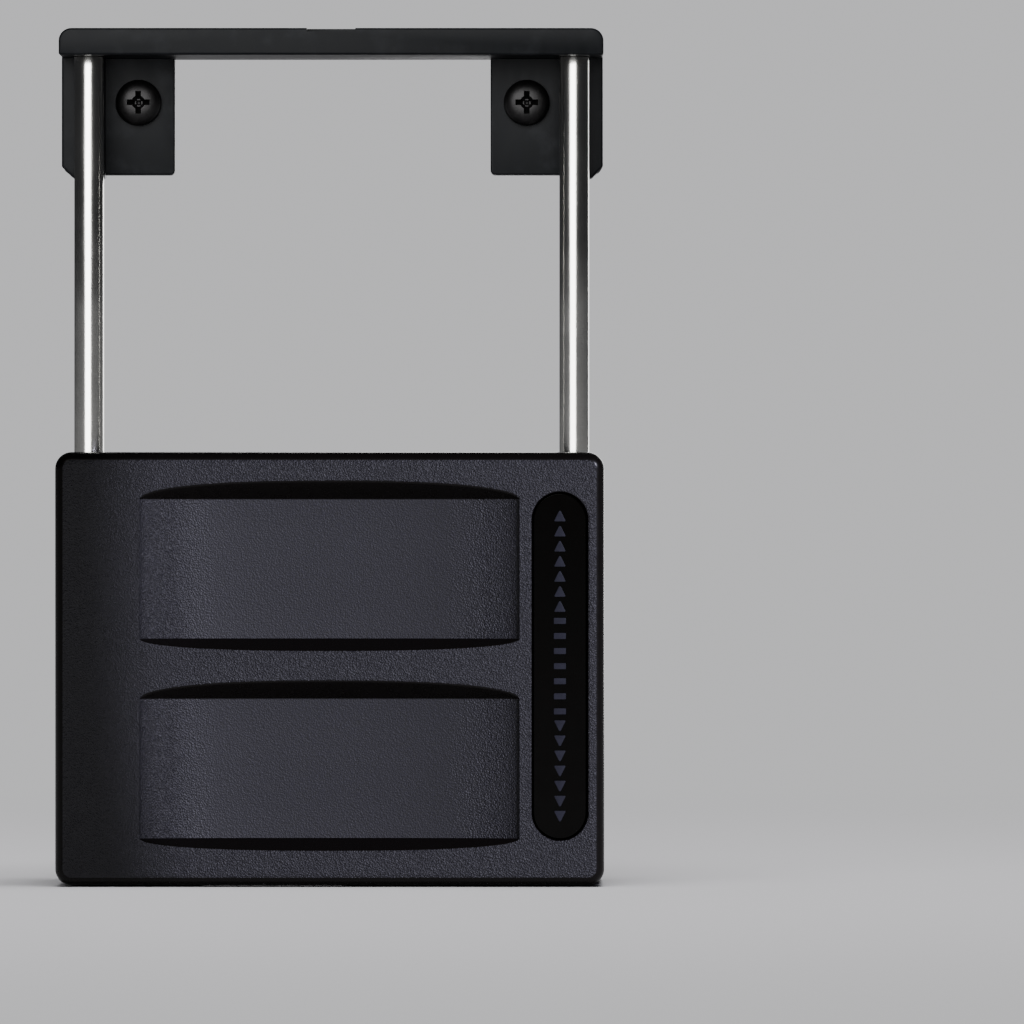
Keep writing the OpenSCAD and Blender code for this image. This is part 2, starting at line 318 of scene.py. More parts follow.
# Dark, mottled and half glossy, with a soft glint on the dome of each head.
mottle = add_node(tree, "ShaderNodeTexNoise", {
    "Vector": place_on, "Scale": per_mm(0.5), "Detail": 5.0, "Roughness": 0.65})
tint = blend(tree, mottle.outputs["Fac"], colour("#0b0b0c"), colour("#1d1c1c"))
rough = add_node(tree, "ShaderNodeMapRange", {"Value": mottle.outputs["Fac"], "To Min": 0.3, "To Max": 0.5})
bump = add_node(tree, "ShaderNodeBump", {
    "Height": mottle.outputs["Fac"], "Strength": 0.2, "Distance": 0.02 * MM})
skin = add_node(tree, "ShaderNodeBsdfPrincipled", {
    "Base Color": tint, "Metallic": 0.85,
    "Roughness": rough.outputs[0], "Normal": bump.outputs[0]})
tree.links.new(skin.outputs[0], output.inputs[0])

thread_r, thread_pitch, thread_depth = 1.75, 0.794, 0.46
head_r, head_t, rim_t = 3.1, 2.1, 0.75
screw_len = 12.7
neck_r, neck_len = 1.5, foot_t + 0.2        # the plain neck passes through the foot


def screw():
    """One screw along +Z, with the underside of its head at the origin and the head above it."""
    bm = bmesh.new()
    steps = 40
    rings = [circle(bm, 0, -screw_len, steps)]
    rings_a_turn = 10
    count = int(screw_len / thread_pitch * rings_a_turn)
    for i in range(count + 1):
        height = -screw_len + screw_len * i / count
        tip_taper = 0.55 * (1 - min(1.0, (height + screw_len) / 0.5))
        ring = []
        for k in range(steps):
            phase = (height / thread_pitch - k / steps) % 1
            flank = abs(2 * phase - 1)
            depth = thread_depth * max(0.0, min(1.0, (flank - 0.12) / 0.72))
            radius = neck_r if height > -neck_len else thread_r - depth - tip_taper
            angle = 2 * math.pi * k / steps
            ring.append(bm.verts.new((radius * math.cos(angle), radius * math.sin(angle), height)))
        rings.append(ring)
    head = [(head_r - 0.15, 0.0), (head_r, 0.15), (head_r, rim_t)]
    dome = 10
    for j in range(1, dome):
        angle = math.pi / 2 * j / dome
        head.append((head_r * math.cos(angle) ** 0.6, rim_t + (head_t - rim_t) * math.sin(angle)))
    rings += [circle(bm, radius, height, steps) for radius, height in head + [(0, head_t)]]
    for ring, following in zip(rings, rings[1:]):
        join_rings(bm, ring, following)
    made = solid_from(bm, "screw")
    # the recess is a cross with tapered wings and a deep cone in the middle
    for turn in (0, math.pi / 2):
        bm = bmesh.new()
        ends = []
        for half_a, half_b, height in ((1.75, 0.42, head_t + 0.3), (0.5, 0.2, head_t - 1.8)):
            corners = ((-half_a, -half_b), (half_a, -half_b), (half_a, half_b), (-half_a, half_b))
            ends.append([bm.verts.new((x, y, height)) for x, y in corners])
        bm.faces.new(ends[0])
        bm.faces.new(ends[1][::-1])
        join_rings(bm, ends[0], ends[1])
        combine(made, place(solid_from(bm, "wing"), Matrix.Rotation(turn, 4, "Z")), "DIFFERENCE")
    cone = turned([(0, head_t + 0.3), (1.0, head_t + 0.3), (0.5, head_t - 1.6), (0, head_t - 2.4)], 24)
    return combine(made, place(cone, Matrix.Rotation(0.1, 4, "Z")), "DIFFERENCE")


def new_group(name, inputs):
    """An empty geometry node group with these named inputs, and the sockets that give them."""
    group = bpy.data.node_groups.new(name, "GeometryNodeTree")
    group.interface.new_socket("Geometry", in_out="OUTPUT", socket_type="NodeSocketGeometry")
    for label, kind in inputs.items():
        group.interface.new_socket(label, in_out="INPUT", socket_type="NodeSocket" + kind)
    return group, add_node(group, "NodeGroupInput").outputs


def close_group(group, geometry, given):
    """Moves what a group made to its middle, makes it real and gives it its finish."""
    moved = add_node(group, "GeometryNodeTransform", {"Geometry": geometry, "Translation": given["Middle"]})
    real = add_node(group, "GeometryNodeRealizeInstances", {"Geometry": moved.outputs[0]})
    finished = add_node(group, "GeometryNodeSetMaterial", {
        "Geometry": real.outputs[0], "Material": given["Finish"]})
    add_node(group, "NodeGroupOutput", {"Geometry": finished.outputs[0]})
    return group


def corner_places(name):
    """Geometry nodes that set one piece on the four corners of an upright rectangle; in the
    lower two places the piece is turned end for end if Flip is on."""
    group, given = new_group(name, {
        "Geometry": "Geometry", "Piece": "Object", "Width": "Float", "Height": "Float", "Middle": "Vector",
        "Flip": "Bool", "Finish": "Material"})
    grid = add_node(group, "GeometryNodeMeshGrid", {
        "Size X": given["Width"], "Size Y": given["Height"], "Vertices X": 2, "Vertices Y": 2})
    stood = add_node(group, "GeometryNodeTransform", {
        "Geometry": grid.outputs["Mesh"], "Rotation": (math.pi / 2, 0, 0)})
    here = add_node(group, "GeometryNodeInputPosition")
    where = add_node(group, "ShaderNodeSeparateXYZ", {"Vector": here.outputs[0]})
    low = add_node(group, "FunctionNodeCompare", {"A": where.outputs["Z"], "B": 0.0}, data_type="FLOAT",
                   operation="LESS_THAN")
    both = add_node(group, "FunctionNodeBooleanMath", {0: low.outputs[0], 1: given["Flip"]}, operation="AND")
    turn = add_node(group, "GeometryNodeSwitch", {
        "Switch": both.outputs[0], "False": (0, 0, 0), "True": (math.pi, 0, 0)}, input_type="VECTOR")
    piece = add_node(group, "GeometryNodeObjectInfo", {"Object": given["Piece"], "As Instance": True})
    set_out = add_node(group, "GeometryNodeInstanceOnPoints", {
        "Points": stood.outputs[0], "Instance": piece.outputs["Geometry"], "Rotation": turn.outputs[0]})
    return close_group(group, set_out.outputs[0], given)


def grow(group, name, values):
    """Runs geometry nodes with these named inputs, and returns the result as a plain object."""
    holder = bpy.data.objects.new(name, bpy.data.meshes.new(name))
    bpy.context.scene.collection.objects.link(holder)
    step = holder.modifiers.new("grow", "NODES")
    step.node_group = group
    for item in group.interface.items_tree:
        if item.in_out == "INPUT" and item.name in values:
            step[item.identifier] = values[item.name]
    bpy.context.view_layer.update()
    result = bpy.data.meshes.new_from_object(holder.evaluated_get(bpy.context.evaluated_depsgraph_get()))
    holder.modifiers.clear()
    holder.data = result
    return holder


four_corners = corner_places("piece_on_four_corners")
CORNERS = ["upper_left", "upper_right", "lower_left", "lower_right"]
pattern = place(screw(), Matrix.Rotation(math.pi / 2, 4, "X"))
# All four heads face the front, so the lower two aren't turned over.
screws = grow(four_corners, "mounting_screws", {
    "Piece": pattern, "Width": 2 * screw_x, "Height": 2 * screw_z, "Middle": (0, -foot_t, 0),
    "Flip": False, "Finish": black_oxide})
bpy.data.objects.remove(pattern)
finish_piece(screws, "mounting_screws", black_oxide, "base", [corner + "_screw" for corner in CORNERS])
steel_pieces.append(screws)

# ---- Sliding cover ----
# A hollow ABS moulding with thin side skirts, and inside it four lugs that run on the rods. Its outside
# comes from a spark-eroded mould and has an even matt grain. The walls of the two finger scoops and the
# pocket for the inlay were polished. Most of the rounded edge of the face takes the same dark polished
# finish as painted shade, which keeps the edge dark where it turns away from the light.
rubbed_from, rubbed_to = 24.3, 23.6         # heights above the panel between which the grain fades
grained_abs, tree, output = new_material("spark_eroded_abs")
place_on = add_node(tree, "ShaderNodeTexCoord").outputs["Object"]
# The sparks leave pits about a fifth of a millimetre across, so that flats look matt and speckled.
# The grain fades towards the floor of the scoops, where fingers rub it smooth.
pits = add_node(tree, "ShaderNodeTexNoise", {
    "Vector": place_on, "Scale": per_mm(0.17), "Detail": 1.0, "Roughness": 0.6})
tooth = add_node(tree, "ShaderNodeTexVoronoi", {"Vector": place_on, "Scale": per_mm(0.22), "Randomness": 1.0})
relief = add_node(tree, "ShaderNodeMath", {0: pits.outputs["Fac"], 1: tooth.outputs["Distance"]},
                  operation="ADD")
cloud = add_node(tree, "ShaderNodeTexNoise", {"Vector": place_on, "Scale": per_mm(9.0), "Detail": 2.0})
speck = add_node(tree, "ShaderNodeMapRange", {
    "Value": pits.outputs["Fac"], "From Min": 0.3, "From Max": 0.72})
tint = blend(tree, speck.outputs[0], colour("#070609"), colour("#100e19"))
rough = add_node(tree, "ShaderNodeMapRange", {"Value": cloud.outputs["Fac"], "To Min": 0.50, "To Max": 0.60})
depth = add_node(tree, "ShaderNodeSeparateXYZ", {"Vector": place_on})
worn = add_node(tree, "ShaderNodeMapRange", {
    "Value": depth.outputs["Y"], "From Min": -rubbed_from * MM, "From Max": -rubbed_to * MM,
    "To Min": 1.0, "To Max": 0.3})
bump = add_node(tree, "ShaderNodeBump", {
    "Height": relief.outputs[0], "Strength": worn.outputs[0], "Distance": 0.12 * MM})
skin = add_node(tree, "ShaderNodeBsdfPrincipled", {
    "Base Color": tint, "Roughness": rough.outputs[0], "IOR": 1.54,
    "Specular IOR Level": 0.4, "Normal": bump.outputs[0]})
tree.links.new(skin.outputs[0], output.inputs[0])

polished_abs, tree, output = new_material("polished_step_abs")
place_on = add_node(tree, "ShaderNodeTexCoord").outputs["Object"]
# Black, with only a narrow dim highlight, because the polished steps turn away from the light.
# On the rounded edge of the cover this dark finish is painted shade.
haze = add_node(tree, "ShaderNodeTexNoise", {"Vector": place_on, "Scale": per_mm(1.2), "Detail": 3.0})
rough = add_node(tree, "ShaderNodeMapRange", {"Value": haze.outputs["Fac"], "To Min": 0.22, "To Max": 0.34})
skin = add_node(tree, "ShaderNodeBsdfPrincipled", {
    "Base Color": colour("#0b0908"), "Roughness": rough.outputs[0], "IOR": 1.54, "Specular IOR Level": 0.12})
tree.links.new(skin.outputs[0], output.inputs[0])

cover_low, cover_high = limits("slide_cover")
cover_mid = (cover_low.z + cover_high.z) / 2
cover_half = (cover_high.z - cover_low.z) / 2
face_top = -cover_low.y
cover_depth = cover_high.y - cover_low.y
cover_r, edge_r = 2.2, 1.6
pad = 0.07                                  # narrow flat margin that keeps the shading of flats even
scoop_half, scoop_floor, scoop_off, scoop_depth = 25.2, 9.25, 13.25, 2.8
flare_up, flare_down, scoop_power = 2.4, 1.55, 2.4
inlay_low, inlay_high = limits("marking_inlay")
inlay_x = (inlay_low.x + inlay_high.x) / 2
inlay_z = (inlay_low.z + inlay_high.z) / 2 - cover_mid
pocket_half_w = (inlay_high.x - inlay_low.x) / 2 + 0.1
pocket_half_l = (inlay_high.z - inlay_low.z) / 2 + 0.1
pocket_depth = 1.6


def round_loop(half_a, half_b, radius, steps=10):
    """The outline of a rectangle with rounded corners, round its middle."""
    return fillet_outline([(-half_a, -half_b, radius), (half_a, -half_b, radius),
                           (half_a, half_b, radius), (-half_a, half_b, radius)], steps)


def arc(radius, steps):
    """Inset and depth of the points of a quarter round, from the flat to the wall."""
    angles = [math.pi / 2 * k / steps for k in range(steps + 1)]
    return [(radius * (1 - math.sin(angle)), radius * (1 - math.cos(angle))) for angle in angles]


def bend(before, corner, after, reach, steps=5):
    """Points that round one corner of a section, from reach before it to reach after it."""
    start = corner + (before - corner).normalized() * reach
    end = corner + (after - corner).normalized() * reach
    shares = [k / steps for k in range(steps + 1)]
    return [start * (1 - s) ** 2 + corner * 2 * s * (1 - s) + end * s ** 2 for s in shares]


def scoop_section(x):
    """Points (up, depth) across a scoop at a distance x from its middle, from below to above."""
    sunk = scoop_depth * max(0.0, 1 - abs(x / scoop_half) ** scoop_power) ** (1 / scoop_power)
    lip = 0.4
    deep = scoop_depth * (math.hypot(sunk, lip) - lip) / (math.hypot(scoop_depth, lip) - lip)
    share = deep / scoop_depth
    low_lip = Vector((-scoop_floor - max(flare_down * share, 0.12), 0))
    low_toe = Vector((-scoop_floor, deep))
    high_toe = Vector((scoop_floor, deep))
    high_lip = Vector((scoop_floor + max(flare_up * share, 0.12), 0))
    out = Vector((1, 0))
    wall_low, wall_high = (low_lip - low_toe).length, (high_lip - high_toe).length
    points = [low_lip - out * 0.6]
    points += bend(low_lip - out, low_lip, low_toe, min(0.3, 0.4 * wall_low))
    points += bend(low_lip, low_toe, high_toe, min(0.1, 0.3 * wall_low))
    points += [low_toe.lerp(high_toe, s) for s in (0.25, 0.5, 0.75)]
    points += bend(low_toe, high_toe, high_lip, min(0.1, 0.3 * wall_high))
    points += bend(high_toe, high_lip, high_lip + out, min(0.3, 0.4 * wall_high))
    return points + [high_lip + out * 0.6], deep


def cover_block():
    """The cover as a closed block with its finished face."""
    bm = bmesh.new()

    def point(across, up, depth):
        return bm.verts.new((across, depth - face_top, cover_mid + up))

    # rounded edge of the face and the side walls, as rings from the face to the back; all but the
    # first part of the round takes the dark polished finish, which is painted shade on the edge
    profile = [(edge_r + pad, 0)] + arc(edge_r, 9)
    profile += [(0, edge_r + pad), (0, cover_depth - 0.3), (0.06, cover_depth - 0.1), (0.25, cover_depth)]
    rings = []
    for inset, depth in profile:
        loop = round_loop(half_w - inset, cover_half - inset, max(cover_r - inset, 0.3))
        rings.append([point(p.x, p.y, depth) for p in loop])
    for number, (ring, following) in enumerate(zip(rings, rings[1:])):
        join_rings(bm, ring, following, 1 if 2 < number < 11 else 0)
    bm.faces.new(rings[-1])
    holes = []
    # the two scoops
    steps = 72
    columns = [-scoop_half - 0.6] + [-scoop_half * math.cos(math.pi * i / steps) for i in range(steps + 1)]
    columns += [scoop_half + 0.6]
    last_wall_row = 12
    for middle in (-scoop_off, scoop_off):
        low_edge = middle - scoop_floor - flare_down - 0.75
        high_edge = middle + scoop_floor + flare_up + 0.75
        grid = []
        depths = []
        for x in columns:
            section, deep = scoop_section(x)
            depths.append(deep)
            column = [point(x, low_edge, 0)]
            column += [point(x, middle + p.x, p.y) for p in section]
            grid.append(column + [point(x, high_edge, 0)])
        count = len(grid[0])
        for i in range(len(grid) - 1):
            for k in range(count - 1):
                quad = bm.faces.new([grid[i][k], grid[i + 1][k], grid[i + 1][k + 1], grid[i][k + 1]])
                in_wall = 4 <= k <= last_wall_row - 3 or count - last_wall_row + 1 <= k <= count - 6
                quad.material_index = 1 if in_wall and min(depths[i], depths[i + 1]) > 0.02 else 0
        low_side, high_side = [column[0] for column in grid], [column[-1] for column in reversed(grid)]
        holes.append(low_side + grid[-1][1:-1] + high_side + grid[0][-2:0:-1])
    # the pocket for the inlay
    sink = [(0.25 + pad, 0)] + arc(0.25, 4) + [(-0.04, pocket_depth - 0.25)]
    sink += [(-0.04 - r, pocket_depth - 0.25 + d) for r, d in ((0.03, 0.14), (0.11, 0.22), (0.25, 0.25))]
    walls = []
    for inset, depth in sink:
        wide, long = pocket_half_w + inset, pocket_half_l + inset
        loop = round_loop(wide, long, wide - 0.001, 20)
        walls.append([point(inlay_x + p.x, inlay_z + p.y, depth) for p in loop])
    for number, (ring, following) in enumerate(zip(walls, walls[1:])):
        join_rings(bm, ring, following, 0 if number < 3 else 1)
    bm.faces.new(walls[-1]).material_index = 1
    holes.append(walls[0])
    # the flat of the face, round all of them
    loops = [rings[0]] + holes
    flat = [v for loop in loops for v in loop]
    for triangle in tessellate_polygon([[v.co for v in loop] for loop in loops]):
        corners = [flat[i] for i in triangle]
        if len(set(corners)) == 3:
            bm.faces.new(corners)
    return solid_from(bm, "cover")


def soft_box(x, z, height, radius):
    """A box with rounded edges, from its limits in X, in Z and in height above the panel."""
    bm = bmesh.new()
    bmesh.ops.create_cube(bm, size=1)
    bmesh.ops.scale(bm, verts=bm.verts, vec=(x[1] - x[0], height[1] - height[0], z[1] - z[0]))
    middle = ((x[0] + x[1]) / 2, -(height[0] + height[1]) / 2, (z[0] + z[1]) / 2)
    bmesh.ops.translate(bm, verts=bm.verts, vec=middle)
    soften(bm, radius)
    return solid_from(bm, "box")


wall_t, end_wall_t = 1.4, 1.6
ceiling, side_ceiling, channel_w = 21.3, 23.0, 9.5
lug_inset, skirt_inset, lug_len, lug_w, lug_low = 3.65, 3.95, 8.0, 7.1, 6.6
lever_left, lever_right, lever_top = -17, 2, 20.9    # the passage for the lever, left open at both ends
end_wall_low = bar_top + 0.4                # the end walls clear the bars of the brackets
bush_r = 2.8
past = 5                                    # how far a cutting block starts behind the panel
low_z, high_z = cover_low.z, cover_high.z
inside_z = (low_z + end_wall_t, high_z - end_wall_t)


def cut(x, z, height, radius):
    """Cuts a rounded box out of the cover."""
    combine(cover, soft_box(x, z, height, radius), "DIFFERENCE")


cover = cover_block()
cut((channel_w - half_w, half_w - channel_w), inside_z, (-past, ceiling), 0.7)
for side in (-1, 1):
    channel = sorted((side * (half_w - channel_w - 1), side * (half_w - wall_t)))
    cut(channel, inside_z, (-past, side_ceiling), 0.7)
    lug = sorted((side * (rod_x - lug_w / 2), side * (half_w - 0.5)))
    for lug_z in ((low_z + lug_inset, low_z + lug_inset + lug_len),
                  (high_z - lug_inset - lug_len, high_z - lug_inset)):
        combine(cover, soft_box(lug, lug_z, (lug_low, side_ceiling + 1), 0.25), "UNION")
for end_z in ((low_z - 2, low_z + lug_inset), (high_z - lug_inset, high_z + 2)):
    cut((-half_w - 2, half_w + 2), end_z, (-past, end_wall_low), 0.05)
for side in (-1, 1):
    skirt = sorted((side * (half_w - wall_t), side * (half_w + 2)))
    for skirt_z in ((low_z - 2, low_z + skirt_inset), (high_z - skirt_inset, high_z + 2)):
        cut(skirt, skirt_z, (-past, end_wall_low), 0.1)
cut((lever_left, lever_right), (low_z - 2, high_z + 2), (-past, lever_top), 0.6)
for side in (-1, 1):
    for end in (-1, 1):
        tip = cover_mid + end * (cover_half - lug_inset)
        bore = turned([(0, -1), (rod_r + 0.3, -1), (rod_r + 0.3, 1), (bush_r, 1), (bush_r, lug_len - 0.25),
                       (bush_r + 0.3, lug_len + 0.05), (bush_r + 0.3, lug_len + 1), (0, lug_len + 1)])
        if end > 0:
            place(bore, Matrix.Rotation(math.pi, 4, "X"))
        combine(cover, place(bore, Matrix.Translation((side * rod_x, -rod_top, tip))), "DIFFERENCE")
finish_piece(cover, "slide_cover_moulding", [grained_abs, polished_abs], "slide", ["slide_cover"])

# ---- Bushes and drag rings ----
# Each lug holds a natural acetal bush, turned and pushed in from inside, and behind it a small
# nitrile ring that grips the rod, so that the cover stays where it is put.
natural_acetal, tree, output = new_material("natural_acetal")
place_on = add_node(tree, "ShaderNodeTexCoord").outputs["Object"]
# Milky white and slightly translucent, with the fine feed marks of turning.
turning = add_node(tree, "ShaderNodeMapping", {"Vector": place_on, "Scale": (0.05, 0.05, 1.0)})
feed = add_node(tree, "ShaderNodeTexNoise", {
    "Vector": turning.outputs[0], "Scale": per_mm(0.15), "Detail": 2.0})
bump = add_node(tree, "ShaderNodeBump", {
    "Height": feed.outputs["Fac"], "Strength": 0.2, "Distance": 0.02 * MM})
tint = blend(tree, feed.outputs["Fac"], colour("#dcdcd4"), colour("#e8e8e2"))
skin = add_node(tree, "ShaderNodeBsdfPrincipled", {
    "Base Color": tint, "Roughness": 0.38, "IOR": 1.48,
    "Subsurface Weight": 0.15, "Subsurface Radius": (0.001, 0.001, 0.001), "Normal": bump.outputs[0]})
tree.links.new(skin.outputs[0], output.inputs[0])

nitrile, tree, output = new_material("nitrile_rubber")
place_on = add_node(tree, "ShaderNodeTexCoord").outputs["Object"]
# Soft dark grey rubber, clouded by a dry bloom.
bloom = add_node(tree, "ShaderNodeTexNoise", {"Vector": place_on, "Scale": per_mm(0.3), "Detail": 3.0})
tint = blend(tree, bloom.outputs["Fac"], colour("#121212"), colour("#202020"))
skin = add_node(tree, "ShaderNodeBsdfPrincipled", {
    "Base Color": tint, "Roughness": 0.6, "IOR": 1.52})
tree.links.new(skin.outputs[0], output.inputs[0])

ring_len, lug_lip = 1.2, 1.0
lug_tip = cover_half - lug_inset            # outer end of a lug, from the cover's middle
bore_r = rod_r + 0.05


def hollow(profile, name, steps=64):
    """A ring of revolution about Z from a closed outline of (radius, height) pairs."""
    bm = bmesh.new()
    rings = [circle(bm, radius, height, steps) for radius, height in profile]
    for i, ring in enumerate(rings):
        join_rings(bm, ring, rings[(i + 1) % len(rings)])
    return solid_from(bm, name)


def place_in_lugs(pattern, name, material, kind):
    """Sets one piece in each of the four lugs, with its origin at the lug's outer end."""
    made = grow(four_corners, name, {"Piece": pattern, "Width": 2 * rod_x, "Height": 2 * lug_tip,
                                     "Middle": (0, -rod_top, cover_mid), "Flip": True, "Finish": material})
    bpy.data.objects.remove(pattern)
    finish_piece(made, name, material, "slide", [c + kind for c in CORNERS])


bush_low, bush_high = -lug_len, -lug_lip - ring_len
place_in_lugs(hollow([(bore_r + 0.25, bush_low), (bush_r - 0.3, bush_low), (bush_r, bush_low + 0.3),
                      (bush_r, bush_high - 0.15), (bush_r - 0.15, bush_high), (bore_r + 0.15, bush_high),
                      (bore_r, bush_high - 0.15), (bore_r, bush_low + 0.25)], "bush"),
              "rod_bushes", natural_acetal, "_bush")
ring_mid = -lug_lip - ring_len / 2
ring_low, ring_high, ring_r = ring_mid - ring_len / 2, ring_mid + ring_len / 2, rod_r + 0.03
ring_outline = fillet_outline([(ring_r, ring_low, 0.36), (bush_r, ring_low, 0.36),
                               (bush_r, ring_high, 0.36), (ring_r, ring_high, 0.36)], 6)
place_in_lugs(hollow([(p.x, p.y) for p in ring_outline], "ring"), "drag_rings", nitrile, "_drag_ring")

# ---- Marking inlay ----
# A thin gloss ABS strip with round ends, glued into the pocket on the right of the face. Raised marks
# moulded down its middle point along the slide: arrowheads at both ends and bars between them.
gloss_abs, tree, output = new_material("gloss_abs")
place_on = add_node(tree, "ShaderNodeTexCoord").outputs["Object"]
# A black gloss that stays dark beside the matt cover; slow ripples break up its reflections.
ripple = add_node(tree, "ShaderNodeTexNoise", {"Vector": place_on, "Scale": per_mm(2.5), "Detail": 2.0})
rough = add_node(tree, "ShaderNodeMapRange", {"Value": ripple.outputs["Fac"], "To Min": 0.1, "To Max": 0.2})
skin = add_node(tree, "ShaderNodeBsdfPrincipled", {
    "Base Color": colour("#070504"), "Roughness": rough.outputs[0], "IOR": 1.54, "Specular IOR Level": 0.12})
tree.links.new(skin.outputs[0], output.inputs[0])

worn_marks, tree, output = new_material("rubbed_marks_abs")
place_on = add_node(tree, "ShaderNodeTexCoord").outputs["Object"]
# Dark grey tops that rubbing has made uneven, so the marks stand out only a little.
rub = add_node(tree, "ShaderNodeTexNoise", {
    "Vector": place_on, "Scale": per_mm(0.6), "Detail": 4.0, "Roughness": 0.7})
tint = blend(tree, rub.outputs["Fac"], colour("#1b1b20"), colour("#2b2b34"))
skin = add_node(tree, "ShaderNodeBsdfPrincipled", {
    "Base Color": tint, "Roughness": 0.4, "IOR": 1.54,
    "Specular IOR Level": 0.06})
tree.links.new(skin.outputs[0], output.inputs[0])

plate_t, mark_t, mark_w, mark_step = 0.7, 0.4, 1.6, 2.0
mark_count, bar_count = 21, 7
plate_top = face_top - pocket_depth + plate_t
bm = bmesh.new()
plate_rings = []
for inset, depth in [(0.2 + pad, 0)] + arc(0.2, 4) + [(0, 0.2 + pad), (0, plate_t)]:
    wide, long = pocket_half_w - 0.1 - inset, pocket_half_l - 0.1 - inset
    plate_rings.append([bm.verts.new((inlay_x + p.x, depth - plate_top, cover_mid + inlay_z + p.y))
                        for p in round_loop(wide, long, wide - 0.001, 20)])
for ring, following in zip(plate_rings, plate_rings[1:]):
    join_rings(bm, ring, following)
bm.faces.new(plate_rings[0])
bm.faces.new(plate_rings[-1])
inlay = solid_from(bm, "inlay")
finish_piece(inlay, "marking_inlay_strip", gloss_abs, "slide", ["marking_inlay"])


def mark_column():
    """Geometry nodes that set marks in a column: bars in the middle, arrowheads beyond them."""
    group, given = new_group("column_of_marks", {
        "Geometry": "Geometry", "Arrowhead": "Object", "Bar": "Object", "Count": "Int", "Step": "Float",
        "Bar Reach": "Float", "Middle": "Vector", "Finish": "Material"})
    spaces = add_node(group, "ShaderNodeMath", {0: given["Count"], 1: 1.0}, operation="SUBTRACT")
    length = add_node(group, "ShaderNodeMath", {0: spaces.outputs[0], 1: given["Step"]}, operation="MULTIPLY")
    half = add_node(group, "ShaderNodeMath", {0: length.outputs[0], 1: -0.5}, operation="MULTIPLY")
    start = add_node(group, "ShaderNodeCombineXYZ", {"Z": half.outputs[0]})
    step = add_node(group, "ShaderNodeCombineXYZ", {"Z": given["Step"]})
    line = add_node(group, "GeometryNodeMeshLine", {
        "Count": given["Count"], "Start Location": start.outputs[0], "Offset": step.outputs[0]})
    here = add_node(group, "GeometryNodeInputPosition")
    up = add_node(group, "ShaderNodeSeparateXYZ", {"Vector": here.outputs[0]})
    away = add_node(group, "ShaderNodeMath", {0: up.outputs["Z"]}, operation="ABSOLUTE")
    is_bar = add_node(group, "FunctionNodeCompare", {"A": away.outputs[0], "B": given["Bar Reach"]},
                      data_type="FLOAT", operation="LESS_THAN")
    low = add_node(group, "FunctionNodeCompare", {"A": up.outputs["Z"], "B": 0.0}, data_type="FLOAT",
                   operation="LESS_THAN")
    turn = add_node(group, "GeometryNodeSwitch", {
        "Switch": low.outputs[0], "False": (0, 0, 0), "True": (0, math.pi, 0)}, input_type="VECTOR")
    bar = add_node(group, "GeometryNodeObjectInfo", {"Object": given["Bar"]})
    arrow = add_node(group, "GeometryNodeObjectInfo", {"Object": given["Arrowhead"]})
    is_arrow = add_node(group, "FunctionNodeBooleanMath", {0: is_bar.outputs[0]}, operation="NOT")
    bars = add_node(group, "GeometryNodeInstanceOnPoints", {
        "Points": line.outputs[0], "Selection": is_bar.outputs[0], "Instance": bar.outputs["Geometry"]})
    arrows = add_node(group, "GeometryNodeInstanceOnPoints", {
        "Points": line.outputs[0], "Selection": is_arrow.outputs[0], "Instance": arrow.outputs["Geometry"],
        "Rotation": turn.outputs[0]})
    both = add_node(group, "GeometryNodeJoinGeometry")
    group.links.new(bars.outputs[0], both.inputs[0])
    group.links.new(arrows.outputs[0], both.inputs[0])
    return close_group(group, both.outputs[0], given)


half_mark = mark_w / 2
root = 0.2                                  # how far a mark is sunk into the strip
triangle = [(-half_mark, -half_mark, 0.1), (half_mark, -half_mark, 0.1), (0, half_mark, 0.15)]
arrowhead = plate(fillet_outline(triangle, 3), -root, mark_t, 0.1)
bar_mark = plate(round_loop(half_mark, half_mark / 2, 0.1, 3), -root, mark_t, 0.1)
marks = grow(mark_column(), "raised_marks", {
    "Arrowhead": arrowhead, "Bar": bar_mark, "Count": mark_count, "Step": mark_step,
    "Bar Reach": mark_step * bar_count / 2, "Middle": (inlay_x, -plate_top, cover_mid + inlay_z),
    "Finish": worn_marks})
bpy.data.objects.remove(arrowhead)
bpy.data.objects.remove(bar_mark)
finish_piece(marks, "raised_marks", worn_marks, "slide", ["marking_inlay"])

# ---- Studio ----
# A plain pale floor under the lower bracket that fades into the backdrop. A tall soft box makes the
# streak on each rod and lights the brackets, a weak one fills, and two more light the floor and the
# back. The key light comes from the upper right.
floor_paint, tree, output = new_material("pale_floor")
place_on = add_node(tree, "ShaderNodeTexCoord").outputs["Object"]
from_middle = add_node(tree, "ShaderNodeVectorMath", {0: place_on}, operation="LENGTH")
fade = add_node(tree, "ShaderNodeMapRange", {
    "Value": from_middle.outputs["Value"], "From Min": 0.10, "From Max": 0.45},
    interpolation_type="SMOOTHSTEP")
paint = add_node(tree, "ShaderNodeBsdfDiffuse", {"Color": colour("#c9c8cb"), "Roughness": 0.5})
backdrop = add_node(tree, "ShaderNodeEmission", {"Color": colour("#dedee0"), "Strength": 0.85})
mixed = add_node(tree, "ShaderNodeMixShader", {
    0: fade.outputs[0], 1: paint.outputs[0], 2: backdrop.outputs[0]})
tree.links.new(mixed.outputs[0], output.inputs[0])
bm = bmesh.new()
bmesh.ops.create_grid(bm, x_segments=1, y_segments=1, size=6)
bmesh.ops.translate(bm, verts=bm.verts, vec=(0, 0, -half_len * MM - 0.0002))
floor_mesh = bpy.data.meshes.new("floor")
bm.to_mesh(floor_mesh)
bm.free()
floor_mesh.materials.append(floor_paint)
floor = bpy.data.objects.new("floor", floor_mesh)
bpy.context.scene.collection.objects.link(floor)

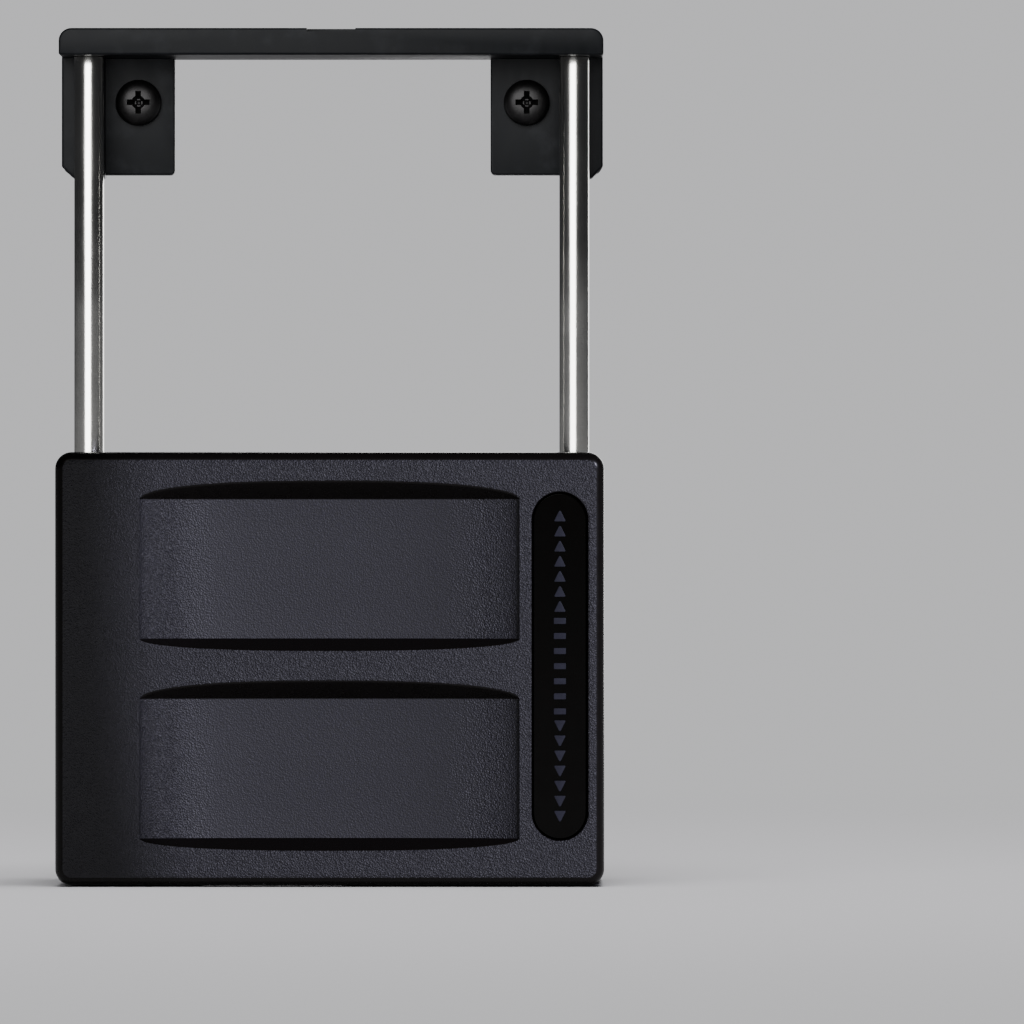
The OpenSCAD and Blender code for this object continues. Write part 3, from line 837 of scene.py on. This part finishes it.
world = bpy.data.worlds.new("studio")
bpy.context.scene.world = world
world.use_nodes = True
tree = world.node_tree
tree.nodes.clear()
output = add_node(tree, "ShaderNodeOutputWorld")
seen = add_node(tree, "ShaderNodeLightPath")
pale = add_node(tree, "ShaderNodeBackground", {"Color": colour("#dedee0"), "Strength": 0.85})
dim = add_node(tree, "ShaderNodeBackground", {"Color": colour("#b8bac0"), "Strength": 0.06})
choose = add_node(tree, "ShaderNodeMixShader", {
    0: seen.outputs["Is Camera Ray"], 1: dim.outputs[0], 2: pale.outputs[0]})
tree.links.new(choose.outputs[0], output.inputs[0])


def aim(made, place_at, target):
    """Sets a light or the camera in its place and turns it to its target."""
    made.location = place_at
    made.rotation_mode = "QUATERNION"
    made.rotation_quaternion = (Vector(target) - Vector(place_at)).to_track_quat("-Z", "Y")
    bpy.context.scene.collection.objects.link(made)
    return made


def soft_light(name, place_at, width, height, power):
    """A soft box that faces the middle of the part and isn't seen itself."""
    lamp = bpy.data.lights.new(name, "AREA")
    lamp.shape = "RECTANGLE"
    lamp.size, lamp.size_y = width, height
    lamp.energy = power
    made = aim(bpy.data.objects.new(name, lamp), place_at, (0, 0, 0))
    made.visible_camera = False
    return made


def only_on(light, name, pieces):
    """Keeps a light on these pieces, as a flag or a snoot does in a studio."""
    takes = bpy.data.collections.new(name)
    for piece in pieces:
        takes.objects.link(piece)
    light.light_linking.receiver_collection = takes


rod_box = soft_light("rod_box", (-0.14, -0.95, 0.16), 0.72, 1.0, 30)
only_on(rod_box, "takes_rod_box", steel_pieces + [upper, lower])
soft_light("fill", (-0.25, -0.9, 0.45), 0.7, 0.6, 2.6)
overhead = soft_light("overhead", (0.1, -0.15, 0.9), 0.6, 0.6, 12)
only_on(overhead, "takes_overhead", [floor])
rear = soft_light("rear", (0.35, 1.1, 0.3), 0.8, 0.8, 9)
only_on(rear, "takes_rear", steel_pieces + [upper, lower, cover])

# The key light comes from the upper right and stops short of the left side of the cover.
key = bpy.data.lights.new("key", "SPOT")
key.energy = 108
key.color = colour("#eae8ff")[:3]
key.spot_size = math.radians(30.96)
key.spot_blend = 0.02
key.shadow_soft_size = 0.004
key_light = aim(bpy.data.objects.new("key", key), (0.76, -0.92, 0.42), (0.33, 0, 0.07))
only_on(key_light, "takes_key", [cover, marks])

# The camera looks straight at the face, with the part left of the middle.
eye_x, eye_z, eye_distance = 0.0242, -0.0076, 1.3
camera_lens = bpy.data.cameras.new("camera")
camera_lens.lens = 337.8
camera_lens.clip_start, camera_lens.clip_end = 0.05, 20
camera = aim(bpy.data.objects.new("camera", camera_lens), (eye_x, -eye_distance, eye_z), (eye_x, 0, eye_z))
bpy.context.scene.camera = camera
